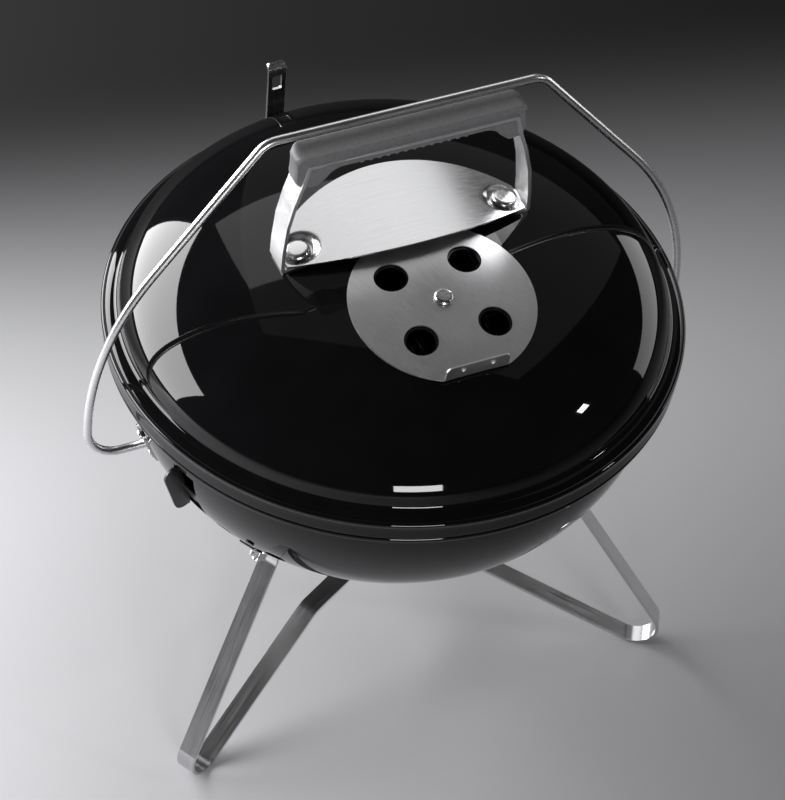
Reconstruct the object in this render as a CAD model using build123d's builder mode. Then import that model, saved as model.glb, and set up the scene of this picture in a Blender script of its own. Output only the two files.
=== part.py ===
from build123d import *
import math
import os

os.makedirs("parts", exist_ok=True)

# ---- driving sizes, millimetres; floor at z 0, bowl axis on Z, front towards -Y ----
wall = 1.5                 # enamelled steel of the bowl and lid
bowl_radius = 171.0        # bowl wall, outside, at its widest
bowl_top_z = 262.7         # where the curved wall turns upright
bowl_depth = 134.0
bowl_power = 2.2           # fullness of the bowl's curve
rim_z = 269.2              # middle of the bowl's flat rim
rim_bead_r = 2.6
rim_bead_radius = 178.0
lid_radius = 172.0         # dome, outside, where it meets its flange
lid_base_z = 286.7
lid_height = 69.5
skirt_radius = 181.3
lid_gap = 0.4              # lid skirt above the bowl's rim bead
lid_bead_z = 283.3
lid_bead_r = 2.1
damper_y = -64.0
damper_radius = 57.5
damper_hole_radius = 10.5
damper_hole_circle = 34.0
damper_gap = 0.4
damper_thick = 1.0
tab_width = 41.0
tab_height = 11.0
rivet_x = 67.5             # handle rivets, either side of the middle
rivet_head_radius = 8.0
strap_width = 18.0
strap_thick = 2.0
grip_top_z = 437.7
grip_half_length = 75.0
grip_depth = 20.0
grip_end_z = 414.0         # lowest point of the grip's ends
grip_arch_z = 425.5
ridge_count = 13
ridge_pitch = 5.6
shield_thick = 1.2
shield_mid_z = 362.6
shield_bend_radius = 300.0
pivot_z = 218.6            # bail pivots, on the X axis direction
bail_wire_r = 2.75
bail_top = 224.0           # pivots to the middle of the bail's top bar
bail_lean = 2.0            # degrees backwards
bail_reach = 201.5
bail_end_x = 154.5          # upset ends of the wire, inside the bowl
pivot_clearance = 0.06
post_azimuth = 92.0
post_width = 12.2
post_clearance = 2.6       # lid's skirt to the post's inner face
post_radius = skirt_radius + post_clearance
post_top_z = 331.0
leg_width = 13.0
leg_thick = 2.0
foot_bend = 15.0           # centre line of the strap round the foot
foot_reach = 181.0
leg_azimuths = (-150.0, -30.0, 90.0)
leg_bolt_reach = 125.0
hub_z = 56.0
vent_azimuths = (-148.0, 32.0)
vent_z = 200.0
vent_gap = 0.35
vent_thick = 1.2
vent_travel = 5.0          # degrees
cook_z = 255.5
cook_radius = 163.6
coal_z = 184.5
coal_radius = 130.8


def polar(radius, azimuth):
    a = math.radians(azimuth)
    return radius * math.cos(a), radius * math.sin(a)


def bowl_point(t, off=0.0):
    # r and z of the bowl's outside at t degrees from its bottom, moved out by off
    if t == 0:
        return 0.0, bowl_top_z - bowl_depth - off
    s = math.sin(math.radians(t))
    c = math.cos(math.radians(t))
    k = 2.0 / bowl_power
    r = bowl_radius * s ** k
    z = bowl_top_z - bowl_depth * c
    dr = bowl_radius * k * s ** (k - 1) * c
    dz = bowl_depth * s
    n = math.hypot(dr, dz)
    return r + off * dz / n, z - off * dr / n


def bowl_t_at_z(z):
    return math.degrees(math.acos((bowl_top_z - z) / bowl_depth))


def bowl_t_at_r(r):
    return math.degrees(math.asin((r / bowl_radius) ** (bowl_power / 2)))


def bowl_slope(t):
    # unit outward normal (radial, vertical) of the wall
    a = bowl_point(t)
    b = bowl_point(t, 1.0)
    return b[0] - a[0], b[1] - a[1]


def lid_point(t, off=0.0):
    # r and z of the dome's outside at t degrees from its crown, moved out by off
    s = math.sin(math.radians(t))
    c = math.cos(math.radians(t))
    n = math.hypot(lid_height * s, lid_radius * c)
    r = lid_radius * s + off * lid_height * s / n
    return r, lid_base_z + lid_height * c + off * lid_radius * c / n


def lid_t(r):
    return math.degrees(math.asin(r / lid_radius))


def lid_frame(x, y, off=0.0):
    # plane touching the dome above (x, y), its z axis out of the dome
    r = math.hypot(x, y)
    t = lid_t(r)
    p = lid_point(t, off)
    q = lid_point(t, off + 1.0)
    ux, uy = x / r, y / r
    n = (ux * (q[0] - p[0]), uy * (q[0] - p[0]), q[1] - p[1])
    return Plane(origin=(ux * p[0], uy * p[0], p[1]), x_dir=(-uy, ux, 0), z_dir=n)


def bowl_frame(azimuth, t, off=0.0):
    # plane touching the bowl wall, its z axis out of the wall, its x axis level
    p = bowl_point(t, off)
    n = bowl_slope(t)
    ca, sa = polar(1.0, azimuth)
    outwards = (ca * n[0], sa * n[0], n[1])
    return Plane(origin=(ca * p[0], sa * p[0], p[1]), x_dir=(-sa, ca, 0), z_dir=outwards)


def spun_shell(outer, inner):
    # closed skin between two curves that both start on the axis
    with BuildPart() as skin:
        with BuildSketch(Plane.XZ):
            with BuildLine():
                Spline(outer)
                Line(outer[-1], inner[-1])
                Spline(inner)
                Line(inner[0], outer[0])
            make_face()
        revolve(axis=Axis.Z)
    return skin.part


def spun_band(points, radius, thick, side):
    # ring made by turning a folded strip about Z
    with BuildPart() as band:
        with BuildSketch(Plane.XZ):
            with BuildLine():
                FilletPolyline(points, radius=radius)
                offset(amount=thick, side=side)
            make_face()
        revolve(axis=Axis.Z)
    return band.part


def folded_strap(points, radius, thick, width, side=Side.LEFT):
    # strap folded in the XZ plane, centred on y 0
    with BuildPart() as strap:
        with BuildSketch(Plane.XZ):
            with BuildLine():
                FilletPolyline(points, radius=radius)
                offset(amount=thick, side=side)
            make_face()
        extrude(amount=width / 2, both=True)
    return strap.part


def filled_bowl(off=0.0):
    # everything inside the bowl's outer surface moved out by off
    steps = 14
    pts = [bowl_point(90.0 * i / steps, off) for i in range(steps + 1)]
    top = bowl_top_z + 40
    with BuildPart() as core:
        with BuildSketch(Plane.XZ):
            with BuildLine():
                Spline(pts)
                Polyline(pts[-1], (pts[-1][0], top), (0, top), pts[0])
            make_face()
        revolve(axis=Axis.Z)
    return core.part


def filled_dome():
    steps = 12
    pts = [lid_point(88.0 * i / steps) for i in range(steps + 1)]
    low = lid_base_z - 40
    with BuildPart() as core:
        with BuildSketch(Plane.XZ):
            with BuildLine():
                Spline(pts)
                Polyline(pts[-1], (pts[-1][0], low), (0, low), pts[0])
            make_face()
        revolve(axis=Axis.Z)
    return core.part


def rivet(plane, shank_r, low, high, head_r, head_h):
    # rivet along the plane's z axis, clamping from low to high, domed on top
    with BuildPart() as pin:
        with BuildSketch(plane.offset(low)):
            Circle(shank_r)
        extrude(amount=high - low)
        with BuildSketch(plane.offset(low)):
            Circle(head_r * 0.8)
        extrude(amount=-head_h * 0.6)
        with BuildSketch(plane.offset(high)):
            Circle(head_r)
        top = extrude(amount=head_h)
        fillet(top.faces().sort_by(Axis(plane.origin, plane.z_dir))[-1].edges(), head_h * 0.8)
    return pin.part


def on_positive_side(part, arc):
    # a partly turned piece, brought to run from azimuth 0 to arc
    return part if part.center().Y > 0 else part.rotate(Axis.Z, arc)


def place(part, azimuth):
    return part.rotate(Axis.Z, azimuth)


def save(part, name):
    part.label = name
    export_step(part, "parts/" + name + ".step")
    print(name, round(part.volume), len(part.solids()))


bowl_core = filled_bowl()
bowl_inside = filled_bowl(-wall)
dome_core = filled_dome()

# ---- base: bowl ----
bowl_steps = 14
vent_t = bowl_t_at_z(vent_z)
vent_hole_offsets = (-5.5, 8.5)     # degrees either side of the vent's middle
vent_hole_r = 7.0
vent_slot_z = (vent_z - 9.0, vent_z + 9.0)
vent_rivet_az = 3.0
vent_rivet_r = 2.0
leg_t = bowl_t_at_r(leg_bolt_reach)
bolt_r = 3.0
bolt_play = 0.1
post_rivet_z = (224.0, 238.0)
small_rivet_r = 2.0
plate_rivet_z = (pivot_z - 9.5, pivot_z + 9.5)
slide_low = -15.6                   # ends of the sliding plate, degrees from the vent's middle
slide_high = 12.5
fin_turn = slide_low + 0.3
fin_z = (208.0, 247.5)
seam_azimuth = 50.0                 # where the wall's turned surface closes, clear of every hole
slot_margin = 0.6                   # degrees past the fin at each end of its travel
with BuildPart() as fin_slot:
    with BuildSketch(Plane.XZ):
        with Locations((168.0, (fin_z[0] + fin_z[1]) / 2)):
            Rectangle(36.0, fin_z[1] - fin_z[0] + 2.4)
    revolve(axis=Axis.Z, revolution_arc=vent_travel + 2 * slot_margin)
slot_arc = vent_travel + 2 * slot_margin
fin_slot_cut = on_positive_side(fin_slot.part, slot_arc).rotate(Axis.Z, fin_turn - slot_margin)
with BuildPart() as bowl:
    add(spun_shell([bowl_point(90.0 * i / bowl_steps) for i in range(bowl_steps + 1)],
                   [bowl_point(90.0 * i / bowl_steps, -wall) for i in range(bowl_steps + 1)]),
        rotation=(0, 0, seam_azimuth))
    rim_low = rim_z - wall / 2
    rim_path = [(bowl_radius, bowl_top_z), (bowl_radius, rim_low), (rim_bead_radius, rim_low)]
    add(spun_band(rim_path, 2.0, wall, Side.LEFT))
    with BuildSketch(Plane.XZ):
        with Locations((rim_bead_radius + 0.2, rim_z)):
            Circle(rim_bead_r)
    revolve(axis=Axis.Z)
    for side in (-1, 1):
        with BuildSketch(Plane(origin=(side * 150.0, 0, pivot_z), z_dir=(side, 0, 0))):
            Circle(bail_wire_r + pivot_clearance)
        extrude(amount=30, mode=Mode.SUBTRACT)
    for azimuth in leg_azimuths:
        with BuildSketch(bowl_frame(azimuth, leg_t, -6.0)):
            Circle(bolt_r + bolt_play)
        extrude(amount=12, mode=Mode.SUBTRACT)
    for z in post_rivet_z:
        with BuildSketch(bowl_frame(post_azimuth, bowl_t_at_z(z), -6.0)):
            Circle(small_rivet_r + bolt_play)
        extrude(amount=12, mode=Mode.SUBTRACT)
    for azimuth in (0.0, 180.0):
        for z in plate_rivet_z:
            with BuildSketch(bowl_frame(azimuth, bowl_t_at_z(z), -6.0)):
                Circle(small_rivet_r + bolt_play)
            extrude(amount=12, mode=Mode.SUBTRACT)
    for azimuth in vent_azimuths:
        for shift in vent_hole_offsets:
            with BuildSketch(bowl_frame(azimuth + shift, vent_t, -6.0)):
                Circle(vent_hole_r)
            extrude(amount=12, mode=Mode.SUBTRACT)
        for z in vent_slot_z:
            with BuildSketch(bowl_frame(azimuth + vent_rivet_az, bowl_t_at_z(z), -6.0)):
                Circle(vent_rivet_r + bolt_play)
            extrude(amount=12, mode=Mode.SUBTRACT)
        add(place(fin_slot_cut, azimuth), mode=Mode.SUBTRACT)
save(bowl.part, "bowl")

# ---- base: the three strap legs ----


def tangent_corner(a, b, centre, radius):
    # where the two outer tangents from a and b to the foot's circle meet
    lines = []
    for p, turn in ((a, 1.0), (b, -1.0)):
        dx, dz = centre[0] - p[0], centre[1] - p[1]
        base = math.atan2(dz, dx)
        lean = math.asin(radius / math.hypot(dx, dz))
        lines.append((p, base + turn * lean))
    (p, u), (q, v) = lines
    cross = math.cos(u) * math.sin(v) - math.sin(u) * math.cos(v)
    s = ((q[0] - p[0]) * math.sin(v) - (q[1] - p[1]) * math.cos(v)) / cross
    return p[0] + s * math.cos(u), p[1] + s * math.sin(u)


foot_centre = (foot_reach, foot_bend + leg_thick / 2)
tab_high = bowl_point(bowl_t_at_r(139.0), 1.7)
tab_low = bowl_point(bowl_t_at_r(111.0), 1.7)
leg_bend = (70.0, hub_z)
foot_corner = tangent_corner(tab_low, leg_bend, foot_centre, foot_bend)
with BuildPart() as leg_blank:
    with BuildSketch(Plane.XZ):
        with BuildLine():
            FilletPolyline([tab_high, tab_low, foot_corner, leg_bend, (8.0, hub_z)], radius=foot_bend)
            offset(amount=leg_thick / 2)
        make_face()
    extrude(amount=leg_width / 2, both=True)
    add(bowl_core, mode=Mode.SUBTRACT)
    with BuildSketch(bowl_frame(0.0, leg_t, -6.0)):
        Circle(bolt_r + bolt_play)
    extrude(amount=16, mode=Mode.SUBTRACT)
    with BuildSketch(Plane.XY.offset(hub_z - 5)):
        with Locations((16.0, 0)):
            Circle(2.5 + bolt_play)
    extrude(amount=10, mode=Mode.SUBTRACT)
for name, azimuth in zip(("leg_left", "leg_right", "leg_rear"), leg_azimuths):
    save(place(leg_blank.part, azimuth), name)

# ---- base: bolts, washers and nuts of the legs, and the hub under the bowl ----
washer_low = leg_thick + 0.04
with BuildPart() as leg_bolt:
    with BuildSketch(bowl_frame(0.0, leg_t, -wall - 0.15)):
        Circle(6.5)
    extrude(amount=-2.4)
    fillet(leg_bolt.faces().sort_by(Axis.Z)[-1].edges(), 1.4)
    with BuildSketch(bowl_frame(0.0, leg_t, -wall - 0.15)):
        Circle(bolt_r)
    extrude(amount=wall + 0.15 + washer_low + 8.6)
with BuildPart() as leg_washer:
    with BuildSketch(bowl_frame(0.0, leg_t, washer_low)):
        Circle(8.5)
        Circle(bolt_r + bolt_play, mode=Mode.SUBTRACT)
    extrude(amount=1.4)
with BuildPart() as leg_nut:
    with BuildSketch(bowl_frame(0.0, leg_t, washer_low + 1.4)):
        RegularPolygon(6.0, 6)
        Circle(bolt_r + 0.02, mode=Mode.SUBTRACT)
    extrude(amount=5.2)
for name, blank in (("leg_bolts", leg_bolt), ("leg_washers", leg_washer), ("leg_nuts", leg_nut)):
    save(Compound([place(blank.part.solid(), a) for a in leg_azimuths]), name)

hub_top = hub_z - leg_thick / 2
with BuildPart() as leg_hub:
    with BuildSketch(Plane.XY.offset(hub_top)):
        Circle(23.0)
        with PolarLocations(16.0, 3, start_angle=leg_azimuths[1]):
            Circle(2.5 + bolt_play, mode=Mode.SUBTRACT)
    extrude(amount=-2.5)
save(leg_hub.part, "leg_hub")
hub_rivet = rivet(Plane(origin=(16.0, 0, hub_top)), 2.5, -2.5, leg_thick, 4.6, 2.2)
save(Compound([place(hub_rivet.solid(), a) for a in leg_azimuths]), "hub_rivets")

# ---- base: rear post that the lid leans on ----
post_low_t = bowl_t_at_z(217.0)
post_high_t = bowl_t_at_z(246.0)
post_hem_z = 205.0         # the strap's trimmed lower end
post_path = [bowl_point(post_low_t, 0.6), bowl_point(post_high_t, 0.6), (post_radius, 256.0),
             (post_radius, post_top_z - 4.0), (post_radius + 3.5, post_top_z)]
with BuildPart() as post_blank:
    add(folded_strap(post_path, 3.0, 2.0, post_width, Side.RIGHT))
    add(bowl_core, mode=Mode.SUBTRACT)
    with BuildSketch(Plane.YZ.offset(post_radius - 5)):
        with Locations((0, 316.0)):
            RectangleRounded(6.5, 11.5, 1.0)
    extrude(amount=12, mode=Mode.SUBTRACT)
    for z in post_rivet_z:
        with BuildSketch(bowl_frame(0.0, bowl_t_at_z(z), -6.0)):
            Circle(small_rivet_r + bolt_play)
        extrude(amount=16, mode=Mode.SUBTRACT)
    with BuildSketch(Plane.YZ.offset(130)):
        with Locations((0, (post_top_z + post_hem_z) / 2)):
            RectangleRounded(post_width, post_top_z + 1.5 - post_hem_z, 4.0)
    extrude(amount=80, mode=Mode.INTERSECT)
save(place(post_blank.part, post_azimuth), "rear_post")
post_rivets = [rivet(bowl_frame(post_azimuth, bowl_t_at_z(z)), small_rivet_r, -wall - 0.1, 2.2, 3.8, 1.6)
               for z in post_rivet_z]
save(Compound([p.solid() for p in post_rivets]), "post_rivets")

# ---- base: the two plates that carry the bail ----
plate_thick = 1.6
plate_half_height = 15.0
plate_ts = [bowl_t_at_z(pivot_z + plate_half_height * (i / 3 - 1)) for i in range(7)]
with BuildPart() as plate_blank:
    with BuildSketch(Plane.XZ):
        with BuildLine():
            Spline([bowl_point(t, 0.02) for t in plate_ts])
            Line(bowl_point(plate_ts[-1], 0.02), bowl_point(plate_ts[-1], plate_thick))
            Spline([bowl_point(t, plate_thick) for t in plate_ts])
            Line(bowl_point(plate_ts[0], 0.02), bowl_point(plate_ts[0], plate_thick))
        make_face()
    revolve(axis=Axis.Z)
    with BuildSketch(Plane.YZ.offset(130)):
        with Locations((0, pivot_z)):
            RectangleRounded(14.0, 2 * plate_half_height - 0.6, 5.0)
    extrude(amount=60, mode=Mode.INTERSECT)
    with BuildSketch(Plane.YZ.offset(130)):
        with Locations((0, pivot_z)):
            Circle(bail_wire_r + pivot_clearance)
    extrude(amount=60, mode=Mode.SUBTRACT)
    for z in plate_rivet_z:
        with BuildSketch(bowl_frame(0.0, bowl_t_at_z(z), -6.0)):
            Circle(small_rivet_r + bolt_play)
        extrude(amount=16, mode=Mode.SUBTRACT)
save(place(plate_blank.part, 180.0), "bail_plate_left")
save(plate_blank.part, "bail_plate_right")
plate_clamp = (-wall - 0.1, plate_thick + 0.02)
plate_rivets = [rivet(bowl_frame(a, bowl_t_at_z(z)), small_rivet_r, *plate_clamp, 3.4, 1.4)
                for a in (0.0, 180.0) for z in plate_rivet_z]
save(Compound([p.solid() for p in plate_rivets]), "plate_rivets")

# ---- bail ----
bend_low = 22.0            # bend radii of the wire, from the pivot upwards
bend_side = 185.0
bend_top = 16.0
side_turn = 39.8           # degrees the side leans in above its long bend
turn = math.radians(side_turn)
arc_end = (bail_reach - bend_side * (1 - math.cos(turn)), bend_low + bend_side * math.sin(turn))
corner_x = arc_end[0] - (bail_top - arc_end[1]) * math.tan(turn)
cut = bend_top * math.tan(math.radians(90 - side_turn) / 2)
line_end = (corner_x + cut * math.sin(turn), bail_top - cut * math.cos(turn))
top_end = (corner_x - cut, bail_top)
with BuildPart() as bail:
    with BuildLine(Plane.XZ):
        Line((bail_end_x, 0), (bail_reach - bend_low, 0))
        CenterArc((bail_reach - bend_low, bend_low), bend_low, -90, 90)
        CenterArc((bail_reach - bend_side, bend_low), bend_side, 0, side_turn)
        Line(arc_end, line_end)
        CenterArc((top_end[0], bail_top - bend_top), bend_top, side_turn, 90 - side_turn)
        Line(top_end, (0, bail_top))
    with BuildSketch(Plane(origin=(bail_end_x, 0, 0), z_dir=(1, 0, 0))):
        Circle(bail_wire_r)
    sweep()
    with BuildSketch(Plane(origin=(bail_end_x, 0, 0), z_dir=(1, 0, 0))):
        Circle(4.2)
    extrude(amount=2.2)
    mirror(about=Plane.YZ)
bail_upright = bail.part.rotate(Axis.X, -bail_lean)
save(bail_upright.moved(Location((0, 0, pivot_z))), "bail")

# ---- lid: dome, flange and skirt ----
lid_last = 84.0
lid_steps = 12
skirt_low_z = rim_z + rim_bead_r + lid_gap
damper_frame = lid_frame(0.0, damper_y)
damper_hole_angles = (45.0, 135.0, 225.0, 315.0)
with BuildPart() as lid:
    add(spun_shell([lid_point(lid_last * i / lid_steps) for i in range(lid_steps + 1)],
                   [lid_point(lid_last * i / lid_steps, -wall) for i in range(lid_steps + 1)]))
    flange_path = [lid_point(lid_last - 0.8), (lid_radius + 0.7, lid_base_z + 0.9),
                   (skirt_radius, lid_bead_z + lid_bead_r), (skirt_radius, skirt_low_z)]
    add(spun_band(flange_path, 1.9, wall, Side.RIGHT))
    with BuildSketch(Plane.XZ):
        with Locations((skirt_radius + 0.7 - lid_bead_r, lid_bead_z)):
            Circle(lid_bead_r)
    revolve(axis=Axis.Z)
    with BuildSketch(damper_frame.offset(-12)):
        with PolarLocations(damper_hole_circle, 4, start_angle=damper_hole_angles[0]):
            Circle(damper_hole_radius - 1.5)
        Circle(3.0 + bolt_play)
    extrude(amount=20, mode=Mode.SUBTRACT)
    for side in (-1.0, 1.0):
        with BuildSketch(lid_frame(side * rivet_x, 0.001, -6.0)):
            Circle(3.0 + bolt_play)
        extrude(amount=12, mode=Mode.SUBTRACT)
save(lid.part, "lid")

# ---- lid: handle bracket, one strap from rivet to rivet through the grip ----
flange_in = lid_point(lid_t(57.0), -0.3)
flange_out = lid_point(lid_t(82.5), -0.3)
core_z = grip_top_z - 7.0
riser = [(82.0, 364.0), (80.0, 384.0), (76.2, 401.0), (71.5, grip_end_z + 2.0), (68.0, core_z)]
right_half = [flange_in, flange_out] + riser
bracket_path = right_half + [(-x, z) for x, z in reversed(right_half)]
with BuildPart() as handle_bracket:
    add(folded_strap(bracket_path, 3.0, strap_thick + 0.3, strap_width, Side.LEFT))
    add(dome_core, mode=Mode.SUBTRACT)
    for side in (-1.0, 1.0):
        with BuildSketch(lid_frame(side * rivet_x, 0.001, -6.0)):
            Circle(3.0 + bolt_play)
        extrude(amount=16, mode=Mode.SUBTRACT)
save(handle_bracket.part, "handle_bracket")

# ---- lid: moulded grip with finger ridges ----
ear_x = grip_half_length - 11.0      # inner edge of the ear at each end
arch_x = grip_half_length - 27.0     # where the arched underside turns level
ear_z = grip_end_z + 3.0
grip_half = [(grip_half_length, grip_top_z), (grip_half_length, ear_z),
             (ear_x, grip_end_z), (arch_x, grip_arch_z)]
with BuildPart() as handle_grip:
    with BuildSketch(Plane.XZ):
        with BuildLine():
            Polyline(*grip_half, *[(-x, z) for x, z in reversed(grip_half)], close=True)
        make_face()
    extrude(amount=grip_depth / 2, both=True)
    crosswise = handle_grip.edges().filter_by(Axis.Y)
    fillet(crosswise.filter_by(lambda e: abs(abs(e.center().X) - arch_x) < 1), 11.0)
    crosswise = handle_grip.edges().filter_by(Axis.Y)
    fillet(crosswise.filter_by(lambda e: e.center().Z > grip_top_z - 1), 5.0)
    with BuildSketch(Plane.XY.offset(grip_end_z - 5)):
        RectangleRounded(2 * grip_half_length, grip_depth, 7.5)
    extrude(amount=40, mode=Mode.INTERSECT)
    with BuildSketch(Plane.YZ.offset(-100)):
        with Locations((0, (grip_top_z + grip_end_z) / 2)):
            RectangleRounded(grip_depth, grip_top_z - grip_end_z, 4.0)
    extrude(amount=200, mode=Mode.INTERSECT)
    first = -ridge_pitch * (ridge_count - 1) / 2
    for i in range(ridge_count):
        with BuildSketch(Plane.XZ.offset(-grip_depth / 2 + 1.5)):
            with Locations((first + i * ridge_pitch, grip_arch_z + 0.3)):
                Circle(1.5)
        extrude(amount=grip_depth - 3.0)
    add(handle_bracket.part, mode=Mode.SUBTRACT)
save(handle_grip.part, "handle_grip")

# ---- lid: heat shield under the grip ----
arc_low = shield_mid_z - shield_bend_radius
shield_half = 78.5
dimple_r = 10.5
rivet_r = 3.0
with BuildPart() as dimple:
    with BuildSketch():
        Circle(dimple_r - 1.2)
    extrude(amount=shield_thick)
    with BuildSketch():
        Circle(dimple_r + 0.05)
        Circle(dimple_r - 1.3, mode=Mode.SUBTRACT)
    extrude(amount=7.0)
with BuildPart() as heat_shield:
    with BuildSketch(Plane.XZ.offset(40)):
        with Locations((0, arc_low)):
            Circle(shield_bend_radius + shield_thick)
            Circle(shield_bend_radius, mode=Mode.SUBTRACT)
    extrude(amount=-100)
    with BuildSketch(Plane.XY.offset(330)):
        with BuildLine():
            ThreePointArc((-shield_half, -10.0), (0, -26.0), (shield_half, -10.0))
            Line((shield_half, -10.0), (shield_half, 10.0))
            ThreePointArc((shield_half, 10.0), (0, 46.0), (-shield_half, 10.0))
            Line((-shield_half, 10.0), (-shield_half, -10.0))
        make_face()
    extrude(amount=60, mode=Mode.INTERSECT)
    for side in (-1.0, 1.0):
        seat = lid_frame(side * rivet_x, 0.001, strap_thick)
        with BuildSketch(seat.offset(-1)):
            Circle(dimple_r)
        extrude(amount=12, mode=Mode.SUBTRACT)
        add(seat.location * dimple.part)
        with BuildSketch(seat.offset(-3)):
            Circle(rivet_r + bolt_play)
        extrude(amount=6, mode=Mode.SUBTRACT)
    with BuildSketch(Plane.XZ.offset(60)):
        with Locations((0, arc_low)):
            Circle(shield_bend_radius + 60)
            Circle(shield_bend_radius + shield_thick, mode=Mode.SUBTRACT)
    extrude(amount=-140, mode=Mode.SUBTRACT)
save(heat_shield.part, "heat_shield")

# ---- lid: handle rivets, through lid, bracket and shield ----
clamp = strap_thick + shield_thick
rivet_head = (rivet_head_radius, 3.6)
handle_rivets = [rivet(lid_frame(side * rivet_x, 0.001), rivet_r, -wall - 0.2, clamp, *rivet_head)
                 for side in (-1.0, 1.0)]
save(Compound([p.solid() for p in handle_rivets]), "handle_rivets")

# ---- lid: vent disc and its rivet ----
disc_curve = 400.0
disc_top = damper_gap + damper_thick
tab_y = -53.4
with BuildPart() as disc:
    with BuildSketch(Plane.XY.offset(-8)):
        Circle(damper_radius)
        with Locations((0, tab_y - 10)):
            Rectangle(120, 20, mode=Mode.SUBTRACT)
    extrude(amount=12)
    with Locations((0, 0, disc_top - disc_curve)):
        Sphere(disc_curve, mode=Mode.INTERSECT)
        Sphere(disc_curve - damper_thick, mode=Mode.SUBTRACT)
    with BuildSketch(Plane.XZ.offset(-tab_y)):
        with Locations((0, -3.0 + tab_height / 2)):
            RectangleRounded(tab_width, tab_height, 4.0)
        with Locations((0, -3.0 + 2.0)):
            Rectangle(tab_width, 4.0)
    extrude(amount=-damper_thick)
    for x in (-9.5, 9.5):
        with Locations((x, tab_y + 0.4, 3.2)):
            Sphere(1.7)
    with BuildSketch(Plane.XY.offset(-8)):
        with PolarLocations(damper_hole_circle, 4, start_angle=damper_hole_angles[0]):
            Circle(damper_hole_radius)
        Circle(rivet_r + pivot_clearance)
    extrude(amount=12, mode=Mode.SUBTRACT)
save(damper_frame.location * disc.part, "lid_damper")
pin = rivet(damper_frame, rivet_r, -wall - 0.2, disc_top + 0.3, 6.0, 2.8)
save(pin, "lid_damper_rivet")

# ---- vent slides inside the bowl wall, each with a finger tab through a slot ----
slide_z = (vent_z - 17.0, vent_z + 26.0)
slide_face = -wall - vent_gap
fin_reach = 10.5
slot_r = vent_rivet_r + pivot_clearance
slide_ts = [bowl_t_at_z(slide_z[0] + (slide_z[1] - slide_z[0]) * i / 6) for i in range(7)]
with BuildPart() as slide_blank:
    with BuildSketch(Plane.XZ):
        with BuildLine():
            Spline([bowl_point(t, slide_face - vent_thick) for t in slide_ts])
            Line(bowl_point(slide_ts[-1], slide_face - vent_thick), bowl_point(slide_ts[-1], slide_face))
            Spline([bowl_point(t, slide_face) for t in slide_ts])
            Line(bowl_point(slide_ts[0], slide_face - vent_thick), bowl_point(slide_ts[0], slide_face))
        make_face()
    revolve(axis=Axis.Z, revolution_arc=slide_high - slide_low)
slide_turned = on_positive_side(slide_blank.part, slide_high - slide_low).rotate(Axis.Z, slide_low)
fin_low, fin_high = [bowl_t_at_z(z) for z in fin_z]
fin_root = slide_face - 0.5 * vent_thick
fin_round = 7.0
fin_outline = [bowl_point(fin_low + 3.0, fin_root), bowl_point(fin_low, 1.0),
               bowl_point(fin_low + 1.2, fin_reach), bowl_point(fin_high, fin_reach),
               bowl_point(fin_high, 1.0), bowl_point(fin_high - 1.5, fin_root)]
with BuildPart() as fin:
    with BuildSketch(Plane.XZ):
        with BuildLine():
            Polyline(*fin_outline, close=True)
        make_face()
    extrude(amount=0.7, both=True)
    for corner in fin_outline[2:4]:
        crosswise = fin.edges().filter_by(Axis.Y)
        fillet(crosswise.sort_by_distance((corner[0], 0, corner[1]))[0], fin_round)
with BuildPart() as vent_slide:
    add(slide_turned)
    add(fin.part.rotate(Axis.Z, fin_turn))
    for shift in vent_hole_offsets:
        with BuildSketch(bowl_frame(shift, vent_t, -9.0)):
            Circle(vent_hole_r)
        extrude(amount=9, mode=Mode.SUBTRACT)
    for z in vent_slot_z:
        for i in range(11):
            turned = vent_rivet_az - vent_travel * i / 10
            with BuildSketch(bowl_frame(turned, bowl_t_at_z(z), -9.0)):
                Circle(slot_r + 0.04)
            extrude(amount=9, mode=Mode.SUBTRACT)
for name, azimuth in zip(("vent_slide_left", "vent_slide_right"), vent_azimuths):
    save(place(vent_slide.part, azimuth), name)


def inward_rivet(azimuth, z):
    # low head outside the wall, shank and domed head inside, over the slide
    frame = bowl_frame(azimuth, bowl_t_at_z(z))
    inwards = Plane(origin=frame.origin, x_dir=frame.x_dir, z_dir=-frame.z_dir)
    clamp_to = wall + vent_gap + vent_thick + 0.3
    return rivet(inwards, vent_rivet_r, -0.1, clamp_to, 3.6, 1.5)


vent_rivets = [inward_rivet(a + vent_rivet_az, z) for a in vent_azimuths for z in vent_slot_z]
save(Compound([p.solid() for p in vent_rivets]), "vent_rivets")

# ---- grate rests welded inside the bowl ----
rest_azimuths = (65.0, 185.0, 305.0)
rest_top = cook_z - 2.8
with BuildPart() as rest:
    add(folded_strap([(172.0, 238.0), (168.2, 238.0), (168.2, rest_top), (157.0, rest_top)], 1.7, 1.5, 14.0,
                     Side.LEFT))
    add(bowl_inside, mode=Mode.INTERSECT)
save(Compound([place(rest.part.solids().sort_by(Axis.X)[-1], a) for a in rest_azimuths]), "grate_rests")

# ---- cooking grate and charcoal grate ----


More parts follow.
